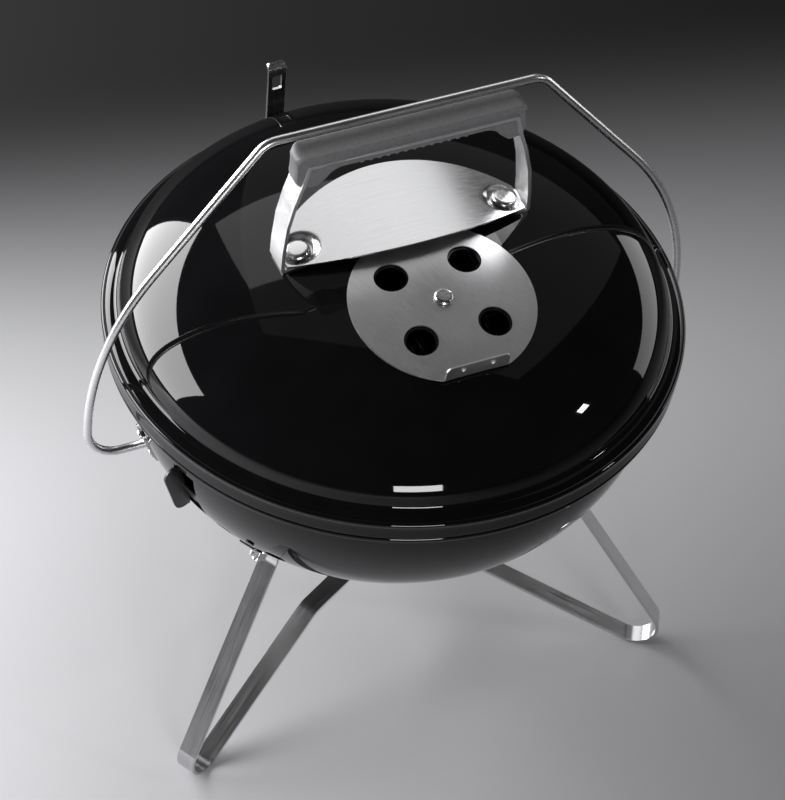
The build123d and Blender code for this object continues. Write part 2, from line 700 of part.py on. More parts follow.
def rod_grate(ring_radius, ring_wire, bar_wire, pitch, cross_at, z, name):
    # parallel rods welded on a ring and two cross rods, one weldment
    weld = 0.25
    bar_z = ring_wire * 0.24
    cross_z = bar_z - bar_wire * 2.1 + weld
    half = int(ring_radius / pitch - 0.25)
    with BuildPart() as grate:
        with BuildSketch(Plane.XZ):
            with Locations([(i * pitch, bar_z) for i in range(-half, half + 1)]):
                Circle(bar_wire)
        extrude(amount=ring_radius, both=True)
        with BuildSketch(Plane.YZ):
            with Locations([(y, cross_z) for y in cross_at]):
                Circle(bar_wire * 1.1)
        extrude(amount=ring_radius, both=True)
        Cylinder(ring_radius + 0.3, 30, mode=Mode.INTERSECT)
        with BuildSketch(Plane.XZ):
            with Locations((ring_radius, 0)):
                RegularPolygon(ring_wire, 12, rotation=15)
        revolve(axis=Axis.Z)
    save(grate.part.moved(Location((0, 0, z))), name)


rod_grate(cook_radius, 2.5, 1.8, 15.5, (-75.0, 75.0), cook_z, "cooking_grate")
rod_grate(coal_radius, 2.8, 2.2, 19.0, (-60.0, 60.0), coal_z, "charcoal_grate")
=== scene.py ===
import math

import bmesh
import bpy
from mathutils import Matrix, Vector


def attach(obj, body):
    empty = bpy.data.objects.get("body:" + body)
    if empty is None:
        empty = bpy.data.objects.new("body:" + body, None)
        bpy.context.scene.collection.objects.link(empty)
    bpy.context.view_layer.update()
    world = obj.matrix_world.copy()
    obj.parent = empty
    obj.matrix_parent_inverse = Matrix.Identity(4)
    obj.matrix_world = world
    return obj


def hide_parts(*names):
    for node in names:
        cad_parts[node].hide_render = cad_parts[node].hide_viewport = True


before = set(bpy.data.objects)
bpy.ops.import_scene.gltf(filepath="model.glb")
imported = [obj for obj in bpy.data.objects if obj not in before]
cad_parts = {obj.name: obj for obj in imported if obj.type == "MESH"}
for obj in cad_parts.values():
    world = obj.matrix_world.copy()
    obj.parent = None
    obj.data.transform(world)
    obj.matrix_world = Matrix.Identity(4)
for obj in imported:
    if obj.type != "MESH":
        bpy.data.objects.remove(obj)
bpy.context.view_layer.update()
mm = 0.001
sharpTurn = 32  # degrees; a CAD edge that turns by more is softened
turnedSharp = 35  # degrees; an edge that turns by more stays sharp on turned and repeated pieces


def newObject(name, mesh, material):
    obj = bpy.data.objects.new(name, mesh)
    bpy.context.scene.collection.objects.link(obj)
    mesh.materials.clear()
    mesh.materials.append(material)
    return obj


def smoothMesh(mesh, degrees):
    for face in mesh.polygons:
        face.use_smooth = True
    mesh.set_sharp_from_angle(angle=math.radians(degrees))


def meshFrom(bm, name, degrees):
    mesh = bpy.data.meshes.new(name)
    bm.to_mesh(mesh)
    bm.free()
    smoothMesh(mesh, degrees)
    return mesh


def evaluated(obj, name):
    graph = bpy.context.evaluated_depsgraph_get()
    graph.update()
    return bpy.data.meshes.new_from_object(obj.evaluated_get(graph), depsgraph=graph)


def bakeModifiers(obj):
    # the modifiers' result becomes the object's own plain mesh
    mesh = evaluated(obj, obj.name)
    old = obj.data
    obj.modifiers.clear()
    obj.data = mesh
    if old.users == 0:
        bpy.data.meshes.remove(old)
    mesh.name = obj.name
    return obj


def arcPoints(centre, radius, start, end, steps):
    points = []
    for i in range(steps + 1):
        turn = math.radians(start + (end - start) * i / steps)
        points.append((centre[0] + radius * math.cos(turn), centre[1] + radius * math.sin(turn)))
    return points


def spin(name, profile, steps):
    # turns (radius, height) points about Z; a point on the axis becomes one pole
    bm = bmesh.new()
    rings = []
    for radius, height in profile:
        if radius < 1e-6:
            rings.append([bm.verts.new((0, 0, height))])
        else:
            turns = [math.tau * i / steps for i in range(steps)]
            rings.append([bm.verts.new((radius * math.cos(turn), radius * math.sin(turn), height))
                          for turn in turns])
    for low, high in zip(rings, rings[1:]):
        for i in range(steps):
            j = (i + 1) % steps
            corners = [low[i % len(low)], low[j % len(low)], high[j % len(high)], high[i % len(high)]]
            loop = []
            for vert in corners:
                if vert not in loop:
                    loop.append(vert)
            if len(loop) > 2:
                bm.faces.new(loop)
    bmesh.ops.remove_doubles(bm, verts=bm.verts, dist=1e-7)
    bmesh.ops.recalc_face_normals(bm, faces=bm.faces)
    return meshFrom(bm, name, turnedSharp)


def cutHoles(obj, holes, slots=()):
    # holes: (centre, axis, radius); slots: corner points of a block; one joined cutter, exact boolean
    bm = bmesh.new()
    for corners in slots:
        bmesh.ops.convex_hull(bm, input=[bm.verts.new(corner) for corner in corners])
    for centre, axis, radius in holes:
        turn = Vector((0, 0, 1)).rotation_difference(Vector(axis)).to_matrix().to_4x4()
        bmesh.ops.create_cone(bm, cap_ends=True, segments=64, radius1=radius, radius2=radius, depth=30 * mm,
                              matrix=Matrix.Translation(centre) @ turn)
    mesh = bpy.data.meshes.new("cutter")
    bm.to_mesh(mesh)
    bm.free()
    cutter = bpy.data.objects.new("cutter", mesh)
    bpy.context.scene.collection.objects.link(cutter)
    cut = obj.modifiers.new("holes", "BOOLEAN")
    cut.operation = "DIFFERENCE"
    cut.solver = "EXACT"
    cut.object = cutter
    bakeModifiers(obj)
    bpy.data.objects.remove(cutter)
    bpy.data.meshes.remove(mesh)
    smoothMesh(obj.data, turnedSharp)


def softenEdges(obj, width, segments, degrees):
    # rounds the edges that turn by more than that angle
    soften = obj.modifiers.new("soften", "BEVEL")
    soften.width = width * mm
    soften.segments = segments
    soften.limit_method = "ANGLE"
    soften.angle_limit = math.radians(degrees)
    soften.harden_normals = True
    bakeModifiers(obj)


def dressNode(node, name, material, body, bevel):
    # a merged copy of a CAD node with its edges softened
    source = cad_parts[node].data
    bm = bmesh.new()
    bm.from_mesh(source)
    bmesh.ops.remove_doubles(bm, verts=bm.verts, dist=2e-6)
    bmesh.ops.dissolve_limit(bm, angle_limit=math.radians(0.8), verts=bm.verts, edges=bm.edges)
    obj = newObject(name, meshFrom(bm, name, sharpTurn), material)
    softenEdges(obj, bevel, 2, sharpTurn)
    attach(obj, body)
    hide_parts(node)
    return obj


def newMaterial(name):
    material = bpy.data.materials.new(name)
    material.use_nodes = True
    tree = material.node_tree
    return material, tree, tree.nodes["Principled BSDF"]


def noiseNode(tree, scale, detail=3.0, stretch=(1, 1, 1), turn=(0, 0, 0), rough=0.5):
    where = tree.nodes.new("ShaderNodeTexCoord")
    place = tree.nodes.new("ShaderNodeMapping")
    place.vector_type = "TEXTURE"  # turns first, then stretches along the turned axes
    place.inputs["Scale"].default_value = [1.0 / share for share in stretch]
    place.inputs["Rotation"].default_value = turn
    noise = tree.nodes.new("ShaderNodeTexNoise")
    noise.inputs["Scale"].default_value = scale
    noise.inputs["Detail"].default_value = detail
    noise.inputs["Roughness"].default_value = rough
    tree.links.new(where.outputs["Object"], place.inputs["Vector"])
    tree.links.new(place.outputs["Vector"], noise.inputs["Vector"])
    return noise


def mathsNode(tree, kind, *values):
    # a value is a number or another node's output
    node = tree.nodes.new("ShaderNodeMath")
    node.operation = kind
    for socket, value in zip(node.inputs, values):
        if isinstance(value, (int, float)):
            socket.default_value = value
        else:
            tree.links.new(value, socket)
    return node.outputs[0]


def ramp(tree, source, low, high, lowAt=0.3, highAt=0.7):
    # grey values from a noise
    node = tree.nodes.new("ShaderNodeMapRange")
    node.inputs["From Min"].default_value = lowAt
    node.inputs["From Max"].default_value = highAt
    node.inputs["To Min"].default_value = low
    node.inputs["To Max"].default_value = high
    tree.links.new(source, node.inputs["Value"])
    return node.outputs["Result"]


def tint(tree, source, dark, light, lowAt=0.3, highAt=0.7):
    node = tree.nodes.new("ShaderNodeValToRGB")
    node.color_ramp.elements[0].position = lowAt
    node.color_ramp.elements[0].color = (*dark, 1)
    node.color_ramp.elements[1].position = highAt
    node.color_ramp.elements[1].color = (*light, 1)
    tree.links.new(source, node.inputs["Fac"])
    return node.outputs["Color"]


def bump(tree, shader, source, strength, distance):
    node = tree.nodes.new("ShaderNodeBump")
    node.inputs["Strength"].default_value = strength
    node.inputs["Distance"].default_value = distance
    tree.links.new(source, node.inputs["Height"])
    tree.links.new(node.outputs["Normal"], shader.inputs["Normal"])


enamelLook = {"dark": (0.0030, 0.0029, 0.0033), "light": (0.0044, 0.0042, 0.0048), "gloss": 0.022, "haze": 0.04,
              "ior": 1.37, "ripple": 0.35, "rippleDepth": 0.00002}


def enamel(name):
    # black vitreous enamel: deep gloss with a very slight ripple and faint haze
    material, tree, shader = newMaterial(name)
    cloud = noiseNode(tree, 26.0, 4.0)
    tree.links.new(tint(tree, cloud.outputs["Fac"], enamelLook["dark"], enamelLook["light"]),
                   shader.inputs["Base Color"])
    haze = noiseNode(tree, 60.0, 5.0)
    tree.links.new(ramp(tree, haze.outputs["Fac"], enamelLook["gloss"], enamelLook["haze"]),
                   shader.inputs["Roughness"])
    shader.inputs["IOR"].default_value = enamelLook["ior"]
    ripple = noiseNode(tree, 95.0, 1.0)
    bump(tree, shader, ripple.outputs["Fac"], enamelLook["ripple"], enamelLook["rippleDepth"])
    return material


metalLook = {"lines": 0.70, "smudges": 0.30, "smudgeScale": 38.0, "smudgeRough": 0.02, "lineDepth": 0.00004}


def brushedMetal(name, dark, light, low, high, grain, turn=(0, 0, 0), scale=900.0, strength=0.06):
    # rolled or brushed metal: fine lines along one direction, slow smudges over them
    material, tree, shader = newMaterial(name)
    shader.inputs["Metallic"].default_value = 1.0
    lines = noiseNode(tree, scale, 3.0, grain, turn, 0.65)
    slow = noiseNode(tree, metalLook["smudgeScale"], 4.0)
    share = mathsNode(tree, "MULTIPLY", lines.outputs["Fac"], metalLook["lines"])
    mixed = mathsNode(tree, "MULTIPLY_ADD", slow.outputs["Fac"], metalLook["smudges"], share)
    tree.links.new(tint(tree, mixed, dark, light, 0.35, 0.65), shader.inputs["Base Color"])
    wider = metalLook["smudgeRough"]
    tree.links.new(ramp(tree, mixed, low - wider, high + wider, 0.35, 0.65),
                   shader.inputs["Roughness"])
    bump(tree, shader, lines.outputs["Fac"], strength, metalLook["lineDepth"])
    return material


nylonLook = {"dark": (0.125, 0.122, 0.127), "light": (0.165, 0.162, 0.168), "low": 0.42, "high": 0.55,
             "grain": 0.35, "grainDepth": 0.00006}


def nylon(name):
    # dark grey glass filled nylon with a fine spark grain
    material, tree, shader = newMaterial(name)
    flecks = noiseNode(tree, 420.0, 4.0)
    tree.links.new(tint(tree, flecks.outputs["Fac"], nylonLook["dark"], nylonLook["light"]),
                   shader.inputs["Base Color"])
    tree.links.new(ramp(tree, flecks.outputs["Fac"], nylonLook["low"], nylonLook["high"]),
                   shader.inputs["Roughness"])
    grain = noiseNode(tree, 1900.0, 2.0)
    bump(tree, shader, grain.outputs["Fac"], nylonLook["grain"], nylonLook["grainDepth"])
    return material


along = {"x": (0.03, 1, 1), "y": (1, 0.03, 1), "z": (1, 1, 0.03)}
lidEnamel = enamel("lidEnamel")
bowlEnamel = enamel("bowlEnamel")
bailSteel = brushedMetal("bailSteel", (0.74, 0.74, 0.75), (0.82, 0.82, 0.83), 0.26, 0.30, along["x"],
                         scale=1400.0, strength=0.02)
shieldSteel = brushedMetal("shieldSteel", (0.50, 0.50, 0.51), (0.60, 0.60, 0.61), 0.20, 0.25, along["x"],
                           scale=700.0, strength=0.04)
ventAluminium = brushedMetal("ventAluminium", (0.58, 0.58, 0.59), (0.68, 0.68, 0.69), 0.38, 0.44, along["y"],
                             (0, 0, math.radians(24)), 1000.0, 0.08)
slideAluminium = brushedMetal("slideAluminium", (0.085, 0.082, 0.085), (0.125, 0.12, 0.125), 0.30, 0.38,
                              along["z"], scale=1000.0)
legSteel = {}
for leg, azimuth in (("left", -150), ("right", -30), ("rear", 90)):
    # the grain follows each strap, which lies along its leg's azimuth
    legSteel[leg] = brushedMetal("legSteel" + leg.capitalize(), (0.56, 0.56, 0.57), (0.70, 0.70, 0.71),
                                 0.20, 0.25, (0.02, 1, 0.02), (0, 0, math.radians(azimuth)), 1100.0)
postSteel = brushedMetal("postSteel", (0.50, 0.50, 0.51), (0.60, 0.60, 0.61), 0.24, 0.30, along["z"],
                         scale=900.0)
bracketSteel = brushedMetal("bracketSteel", (0.80, 0.80, 0.81), (0.88, 0.88, 0.89), 0.34, 0.40, along["z"],
                            scale=900.0)
fastenerSteel = brushedMetal("fastenerSteel", (0.62, 0.62, 0.62), (0.78, 0.78, 0.77), 0.22, 0.34, (1, 1, 1),
                             scale=500.0, strength=0.05)
grateSteel = brushedMetal("grateSteel", (0.52, 0.52, 0.53), (0.70, 0.70, 0.70), 0.22, 0.34, along["y"],
                          scale=900.0)
coalGrateSteel = brushedMetal("coalGrateSteel", (0.20, 0.20, 0.205), (0.33, 0.33, 0.33), 0.42, 0.6, along["y"],
                              scale=500.0, strength=0.3)
gripNylon = nylon("gripNylon")
restEnamel = enamel("restEnamel")
print("stage 2: finishes made")


lidShape = {"wall": 1.5, "domeRadius": 172.0, "domeHeight": 69.5, "baseZ": 286.7, "domeSteps": 56,
            "lastTurn": 84.0, "skirt": 181.3, "skirtLow": 272.2, "beadZ": 283.3, "beadRadius": 2.1,
            "beadAt": 179.9, "steps": 288,
            "hollow": ((0.35, 2.6), (0.9, 4.3), (1.9, 5.6), (3.3, 6.3), (5.0, 6.5)), "hem": 0.75,
            "ventY": -64.0, "ventHoles": 34.0, "ventHole": 9.0, "ventRivet": 3.1}


def domePoint(turn, inwards=0.0):
    s, c = math.sin(math.radians(turn)), math.cos(math.radians(turn))
    radius, height = lidShape["domeRadius"], lidShape["domeHeight"]
    n = math.hypot(height * s, radius * c)
    return (radius * s - inwards * height * s / n, lidShape["baseZ"] + height * c - inwards * radius * c / n)


def domeFrame(x, y, out=0.0):
    # place on the dome above (x, y), and the way out of it
    reach = math.hypot(x, y)
    turn = math.degrees(math.asin(reach / lidShape["domeRadius"]))
    p, q = domePoint(turn, -out), domePoint(turn, -out - 1.0)
    ux, uy = x / reach, y / reach
    normal = Vector((ux * (q[0] - p[0]), uy * (q[0] - p[0]), q[1] - p[1])).normalized()
    return Vector((ux * p[0], uy * p[0], p[1])) * mm, normal


def lidProfile():
    steps, last, wall = lidShape["domeSteps"], lidShape["lastTurn"], lidShape["wall"]
    outer = [domePoint(last * (i / steps) ** 0.9) for i in range(steps + 1)]
    footR, footZ = outer[-1]
    # a small hollow where the dome turns out into its flange, then the rolled bead and the skirt
    outer += [(footR + out, footZ - down) for out, down in lidShape["hollow"]]
    beadCentre = (lidShape["beadAt"], lidShape["beadZ"])
    outer += arcPoints(beadCentre, lidShape["beadRadius"], 112, -38, 16)
    skirt, low = lidShape["skirt"], lidShape["skirtLow"]
    outer += [(skirt, lidShape["beadZ"] - 2.4), (skirt, lidShape["beadZ"] - 5.0), (skirt, low + 0.9)]
    hem = lidShape["hem"]
    outer += arcPoints((skirt - hem, low + hem), hem, 0, -180, 8)
    inner = [(skirt - wall, low + 1.4), (skirt - wall, lidShape["beadZ"] - 1.0),
             (skirt - wall - 2.0, footZ - 8.6), (footR - 0.2, footZ - 7.6), (footR - wall - 0.2, footZ - 3.0)]
    inner += [domePoint(last * (i / steps) ** 0.9, wall) for i in range(steps, -1, -1)]
    return [(max(r, 0.0) * mm, z * mm) for r, z in outer + inner]


def lidVentHoles():
    centre, normal = domeFrame(0, lidShape["ventY"])
    across = Vector((1, 0, 0))
    up = normal.cross(across)
    holes = [(centre, normal, lidShape["ventRivet"] * mm)]
    for quarter in (45, 135, 225, 315):
        turn = math.radians(quarter)
        place = centre + (across * math.cos(turn) + up * math.sin(turn)) * lidShape["ventHoles"] * mm
        holes.append((place, normal, lidShape["ventHole"] * mm))
    return holes


lidShell = newObject("lidShell", spin("lidShell", lidProfile(), lidShape["steps"]), lidEnamel)
cutHoles(lidShell, lidVentHoles())
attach(lidShell, "lid_body")
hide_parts("lid")

bowlShape = {"wall": 1.5, "radius": 171.0, "topZ": 262.7, "depth": 134.0, "fullness": 2.2, "steps": 288,
             "wallSteps": 60, "rimZ": 269.2, "beadRadius": 2.6, "beadAt": 178.2,
             "foldRound": 1.6,
             "ventAt": (-148.0, 32.0), "ventZ": 200.0, "ventHoles": (-5.5, 8.5), "ventHole": 7.0,
             "slotTurns": (-15.9, -9.7), "slotZ": (206.8, 248.7), "slotDepth": (150.0, 186.0),
             "wireAt": 165.0, "wireZ": 218.6, "wireHole": 2.81}


def bowlPoint(turn, out=0.0):
    if turn < 1e-6:
        return 0.0, bowlShape["topZ"] - bowlShape["depth"] - out
    s, c = math.sin(math.radians(turn)), math.cos(math.radians(turn))
    k = 2.0 / bowlShape["fullness"]
    dr, dz = bowlShape["radius"] * k * s ** (k - 1) * c, bowlShape["depth"] * s
    n = math.hypot(dr, dz)
    return (bowlShape["radius"] * s ** k + out * dz / n,
            bowlShape["topZ"] - bowlShape["depth"] * c - out * dr / n)


def bowlFrame(azimuth, z, out=0.0):
    turn = math.degrees(math.acos((bowlShape["topZ"] - z) / bowlShape["depth"]))
    p, q = bowlPoint(turn, out), bowlPoint(turn, out + 1.0)
    c, s = math.cos(math.radians(azimuth)), math.sin(math.radians(azimuth))
    normal = Vector((c * (q[0] - p[0]), s * (q[0] - p[0]), q[1] - p[1])).normalized()
    return Vector((c * p[0], s * p[0], p[1])) * mm, normal


def bowlProfile():
    steps, wall = bowlShape["wallSteps"], bowlShape["wall"]
    outer = [bowlPoint(90.0 * (i / steps) ** 0.8) for i in range(steps + 1)]
    radius, rimZ = bowlShape["radius"], bowlShape["rimZ"]
    fold = bowlShape["foldRound"]
    outer += arcPoints((radius + fold, rimZ - wall / 2 - fold), fold, 180, 90, 6)
    outer += arcPoints((bowlShape["beadAt"], rimZ), bowlShape["beadRadius"], -142, 142, 22)
    inner = arcPoints((radius + fold, rimZ + wall / 2 - 3.1), 3.1, 90, 180, 8)
    inner += [bowlPoint(90.0 * (i / steps) ** 0.8, -wall) for i in range(steps, -1, -1)]
    return [(max(r, 0.0) * mm, z * mm) for r, z in outer + inner]


def bowlHoles():
    holes = []
    for middle in bowlShape["ventAt"]:
        for shift in bowlShape["ventHoles"]:
            place, normal = bowlFrame(middle + shift, bowlShape["ventZ"])
            holes.append((place, normal, bowlShape["ventHole"] * mm))
    for way in (1, -1):
        place = Vector((way * bowlShape["wireAt"], 0, bowlShape["wireZ"])) * mm
        holes.append((place, Vector((1, 0, 0)), bowlShape["wireHole"] * mm))
    return holes


def tabSlots():
    # upright slot beside each vent, where the slide's finger tab comes through
    slots = []
    for middle in bowlShape["ventAt"]:
        corners = []
        for turn in bowlShape["slotTurns"]:
            angle = math.radians(middle + turn)
            corners += [Vector((r * math.cos(angle), r * math.sin(angle), z)) * mm
                        for r in bowlShape["slotDepth"] for z in bowlShape["slotZ"]]
        slots.append(corners)
    return slots


bowlShell = newObject("bowlShell", spin("bowlShell", bowlProfile(), bowlShape["steps"]), bowlEnamel)
cutHoles(bowlShell, bowlHoles(), tabSlots())
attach(bowlShell, "base")
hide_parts("bowl")
print("stage 3: lid and bowl shells", len(lidShell.data.polygons), len(bowlShell.data.polygons))


bailShape = {"wire": 2.75, "pivotZ": 218.6, "lean": 2.0, "end": 154.5, "reach": 201.5, "top": 224.0,
             "bendLow": 22.0, "bendSide": 185.0, "bendTop": 16.0, "sideTurn": 39.8, "around": 28,
             "head": 4.2, "headThick": 2.2, "headRound": 0.5}


def bailHalf():
    # (x, height over the pivot) from the right end to the middle of the top bar
    reach, low, side, top = (bailShape[k] for k in ("reach", "bendLow", "bendSide", "bendTop"))
    turn = math.radians(bailShape["sideTurn"])
    arcEnd = (reach - side * (1 - math.cos(turn)), low + side * math.sin(turn))
    cornerX = arcEnd[0] - (bailShape["top"] - arcEnd[1]) * math.tan(turn)
    cut = top * math.tan(math.radians(90 - bailShape["sideTurn"]) / 2)
    points = [(bailShape["end"], 0.0)] + arcPoints((reach - low, low), low, -90, 0, 16)
    points += arcPoints((reach - side, low), side, 0, bailShape["sideTurn"], 24)[1:]
    points += arcPoints((cornerX - cut, bailShape["top"] - top), top, bailShape["sideTurn"], 90, 12)
    points += [(cornerX * 0.5, bailShape["top"])]
    return points


def bailTube():
    half = bailHalf()
    path = [Vector((x, 0, z)) for x, z in half] + [Vector((-x, 0, z)) for x, z in reversed(half)]
    bm = bmesh.new()
    rings = []
    across = Vector((0, 1, 0))
    for i, place in enumerate(path):
        before, after = path[max(i - 1, 0)], path[min(i + 1, len(path) - 1)]
        ahead = (after - before).normalized()
        if 0 < i < len(path) - 1:
            ahead = ((place - before).normalized() + (after - place).normalized()).normalized()
        side = ahead.cross(across).normalized()
        rings.append([bm.verts.new(place + (side * math.cos(math.tau * k / bailShape["around"])
                                            + across * math.sin(math.tau * k / bailShape["around"]))
                                   * bailShape["wire"]) for k in range(bailShape["around"])])
    for low, high in zip(rings, rings[1:]):
        for k in range(bailShape["around"]):
            j = (k + 1) % bailShape["around"]
            bm.faces.new((low[k], low[j], high[j], high[k]))
    bm.faces.new(list(reversed(rings[0])))
    bm.faces.new(rings[-1])
    # the upset heads inside the bowl
    for way in (1, -1):
        turn = Matrix.Rotation(math.radians(90), 4, "Y")
        place = Matrix.Translation((way * (bailShape["end"] + bailShape["headThick"] / 2), 0, 0))
        made = bmesh.ops.create_cone(bm, cap_ends=True, segments=32, radius1=bailShape["head"],
                                     radius2=bailShape["head"], depth=bailShape["headThick"],
                                     matrix=place @ turn)
        rims = [e for e in {e for v in made["verts"] for e in v.link_edges} if e.calc_face_angle(0) > 1.0]
        bmesh.ops.bevel(bm, geom=rims, offset=bailShape["headRound"], segments=2, affect="EDGES")
    bmesh.ops.recalc_face_normals(bm, faces=bm.faces)
    bmesh.ops.scale(bm, vec=(mm, mm, mm), verts=bm.verts)
    lean = Matrix.Rotation(-math.radians(bailShape["lean"]), 4, "X")
    bmesh.ops.transform(bm, matrix=Matrix.Translation((0, 0, bailShape["pivotZ"] * mm)) @ lean, verts=bm.verts)
    return meshFrom(bm, "carryingBail", 40)


carryingBail = newObject("carryingBail", bailTube(), bailSteel)
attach(carryingBail, "bail_body")
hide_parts("bail")
print("stage 4: bail")


gripShape = {"half": 75.0, "depth": 20.0, "topZ": 437.7, "endZ": 414.0, "archZ": 425.5, "earIn": 60.0,
             "archIn": 46.0,
             "cornerRound": 6.0, "earRound": 5.0, "tipRound": 3.2, "archRound": 13.0,
             "round": 2.2, "endRound": 9.0, "endNarrow": 0.72,
             "ridges": 13, "ridgePitch": 5.6, "ridge": 1.5, "ridgeIn": 3.0, "ridgeUp": 0.3}


def gripOutline():
    # side view from the right ear round to the left ear, then back along the top
    half, top, end, arch = (gripShape[k] for k in ("half", "topZ", "endZ", "archZ"))
    corner, ear, tip, inside = (gripShape[k] for k in ("cornerRound", "earRound", "tipRound", "archRound"))
    right = arcPoints((half - corner, top - corner), corner, 90, 0, 8)
    right += arcPoints((half - ear, end + ear), ear, 0, -90, 7)
    right += arcPoints((gripShape["earIn"] + 3.0, end + tip), tip, -90, -135, 4)
    right += arcPoints((gripShape["archIn"] - 1.0, arch - inside), inside, 32, 90, 9)
    left = [(-x, z) for x, z in reversed(right)]
    return right + left


def gripMesh():
    bm = bmesh.new()
    back = gripShape["depth"] / 2
    outline = gripOutline()
    near = [bm.verts.new((x, -back, z)) for x, z in outline]
    far = [bm.verts.new((x, back, z)) for x, z in outline]
    bm.faces.new(near)
    bm.faces.new(list(reversed(far)))
    count = len(outline)
    for i in range(count):
        j = (i + 1) % count
        bm.faces.new((near[j], near[i], far[i], far[j]))
    for vert in bm.verts:  # ends rounded as seen from above
        past = max(abs(vert.co.x) - (gripShape["half"] - gripShape["endRound"]), 0.0) / gripShape["endRound"]
        vert.co.y *= math.sqrt(1.0 - gripShape["endNarrow"] * past * past)
    bmesh.ops.recalc_face_normals(bm, faces=bm.faces)
    bmesh.ops.scale(bm, vec=(mm, mm, mm), verts=bm.verts)
    return meshFrom(bm, "gripBody", 40)


grip = newObject("lidGrip", gripMesh(), gripNylon)
softenEdges(grip, gripShape["round"], 5, 50)


ridgeValues = {"Ridges": gripShape["ridges"], "Pitch": gripShape["ridgePitch"] * mm,
               "Ridge Radius": gripShape["ridge"] * mm,
               "Length": (gripShape["depth"] - gripShape["ridgeIn"]) * mm,
               "Height": (gripShape["archZ"] + gripShape["ridgeUp"]) * mm}


def ridgeTree():
    # finger ridges: short rods side by side along X, under the grip
    tree = bpy.data.node_groups.new("fingerRidges", "GeometryNodeTree")
    face = tree.interface
    for label, value in ridgeValues.items():
        kind = "NodeSocketInt" if label == "Ridges" else "NodeSocketFloat"
        face.new_socket(label, in_out="INPUT", socket_type=kind).default_value = value
    face.new_socket("Material", in_out="INPUT", socket_type="NodeSocketMaterial")
    face.new_socket("Geometry", in_out="OUTPUT", socket_type="NodeSocketGeometry")
    nodes, link = tree.nodes, tree.links.new
    given = nodes.new("NodeGroupInput")
    gaps = mathsNode(tree, "SUBTRACT", given.outputs["Ridges"], 1.0)
    span = mathsNode(tree, "MULTIPLY", gaps, given.outputs["Pitch"])
    half = mathsNode(tree, "MULTIPLY", span, 0.5)
    back = mathsNode(tree, "MULTIPLY", half, -1.0)
    startAt, endAt = nodes.new("ShaderNodeCombineXYZ"), nodes.new("ShaderNodeCombineXYZ")
    link(back, startAt.inputs["X"])
    link(half, endAt.inputs["X"])
    link(given.outputs["Height"], startAt.inputs["Z"])
    link(given.outputs["Height"], endAt.inputs["Z"])
    row = nodes.new("GeometryNodeMeshLine")
    row.mode = "END_POINTS"
    link(given.outputs["Ridges"], row.inputs["Count"])
    link(startAt.outputs[0], row.inputs["Start Location"])
    link(endAt.outputs[0], row.inputs["Offset"])
    rod = nodes.new("GeometryNodeMeshCylinder")
    rod.inputs["Vertices"].default_value = 16
    link(given.outputs["Ridge Radius"], rod.inputs["Radius"])
    link(given.outputs["Length"], rod.inputs["Depth"])
    lay = nodes.new("GeometryNodeTransform")
    lay.inputs["Rotation"].default_value = (math.radians(90), 0, 0)
    link(rod.outputs["Mesh"], lay.inputs["Geometry"])
    spread = nodes.new("GeometryNodeInstanceOnPoints")
    link(row.outputs["Mesh"], spread.inputs["Points"])
    link(lay.outputs["Geometry"], spread.inputs["Instance"])
    real = nodes.new("GeometryNodeRealizeInstances")
    link(spread.outputs["Instances"], real.inputs["Geometry"])
    paint = nodes.new("GeometryNodeSetMaterial")
    link(real.outputs["Geometry"], paint.inputs["Geometry"])
    link(given.outputs["Material"], paint.inputs["Material"])
    out = nodes.new("NodeGroupOutput")
    link(paint.outputs["Geometry"], out.inputs["Geometry"])
    return tree


def socketId(tree, label):
    for item in tree.interface.items_tree:
        if item.item_type == "SOCKET" and item.in_out == "INPUT" and item.name == label:
            return item.identifier
    raise KeyError(label)


def growPiece(name, tree, values, body):
    # a Geometry Nodes tree's result, kept as a plain mesh
    seed = bpy.data.meshes.new(name + "Seed")
    obj = bpy.data.objects.new(name, seed)
    bpy.context.scene.collection.objects.link(obj)
    grow = obj.modifiers.new("grow", "NODES")
    grow.node_group = tree
    for label, value in values.items():
        grow[socketId(tree, label)] = value
    bakeModifiers(obj)
    smoothMesh(obj.data, turnedSharp)
    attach(obj, body)
    return obj


fingerRidges = growPiece("fingerRidges", ridgeTree(), {**ridgeValues, "Material": gripNylon},
                         "lid_body")
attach(grip, "lid_body")
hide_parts("handle_grip")
print("stage 5: grip and ridges")


shieldShape = {"half": 78.5, "frontEnd": -10.0, "frontMid": -26.0, "rearEnd": 10.0, "rearMid": 46.0,
               "midZ": 362.6, "bend": 300.0, "thick": 1.2, "edge": 0.35, "rivetX": 67.5, "seatOut": 2.0,
               "dimple": 10.5, "dimpleIn": 2.2, "dimpleOut": 3.0, "across": 110, "deep": 60}


def arcThrough(x, endY, midY):
    # y of the circle arc through (-half, endY), (0, midY), (half, endY)
    half = shieldShape["half"]
    rise = midY - endY
    radius = (half * half + rise * rise) / (2 * abs(rise))
    drop = radius - math.sqrt(max(radius * radius - x * x, 0.0))
    return midY - drop if rise > 0 else midY + drop


def shieldHeight(x, y):
    # arched sheet, pressed down to the strap round each rivet
    height = shieldShape["midZ"] - shieldShape["bend"] + math.sqrt(shieldShape["bend"] ** 2 - x * x)
    for way in (1, -1):
        away = math.hypot(x - way * shieldShape["rivetX"], y)
        place, normal = domeFrame(way * shieldShape["rivetX"], 0.001, shieldShape["seatOut"])
        seat = place.z / mm - (normal.x * (x - place.x / mm) + normal.y * (y - place.y / mm)) / normal.z
        inner = shieldShape["dimple"] - shieldShape["dimpleIn"]
        outer = shieldShape["dimple"] + shieldShape["dimpleOut"]
        press = min(max((outer - away) / (outer - inner), 0.0), 1.0)
        press = press * press * (3 - 2 * press)
        height = height * (1 - press) + seat * press
    return height


